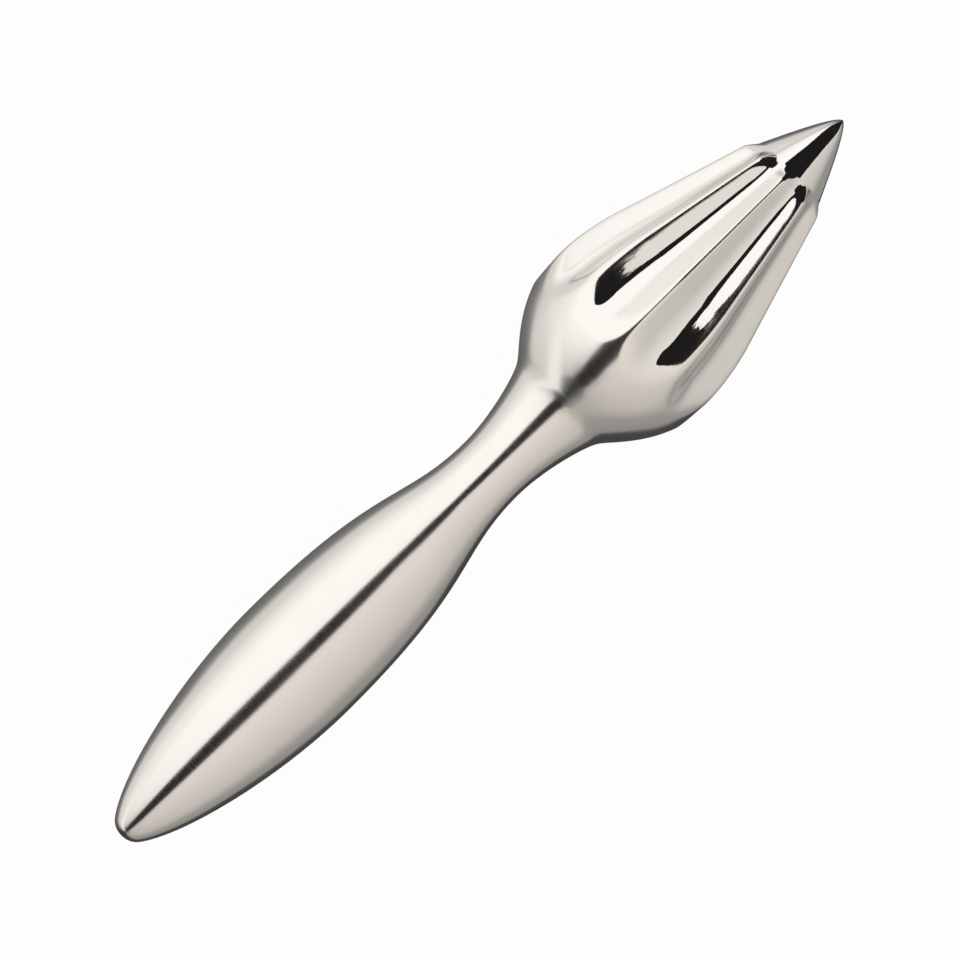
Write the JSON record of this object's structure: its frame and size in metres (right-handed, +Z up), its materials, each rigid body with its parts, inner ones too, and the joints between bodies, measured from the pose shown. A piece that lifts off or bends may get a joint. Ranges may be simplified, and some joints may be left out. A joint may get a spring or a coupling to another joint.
{
  "type": "citrus reamer",
  "caption": "One-hand metal lemon squeezer: a slim hollow handle with a belly and a narrow neck, a bulb, a fluted cone and a smooth point.",
  "frame": {"origin": "on the surface that the tool lies on, under the middle of its bounding box", "axes": "+Z up, the axis of the tool in the XZ plane with its point towards +X, raised by about 4 degrees because the head is thicker than the handle"},
  "size_m": [0.1696, 0.0358, 0.0355],
  "materials": {
    "satin_steel": "satin, brushed round the axis",
    "fluted_steel": "satin bulb with polished flutes",
    "polished_steel": "polished",
    "turned_steel": "as turned"
  },
  "bodies": {
    "root": {"handle_shell_upper": "satin_steel", "handle_shell_lower": "satin_steel", "seam_weld": "satin_steel", "neck_core": "turned_steel", "neck_weld": "satin_steel", "reamer_head": "fluted_steel", "point": "polished_steel"}
  },
  "joints": []
}
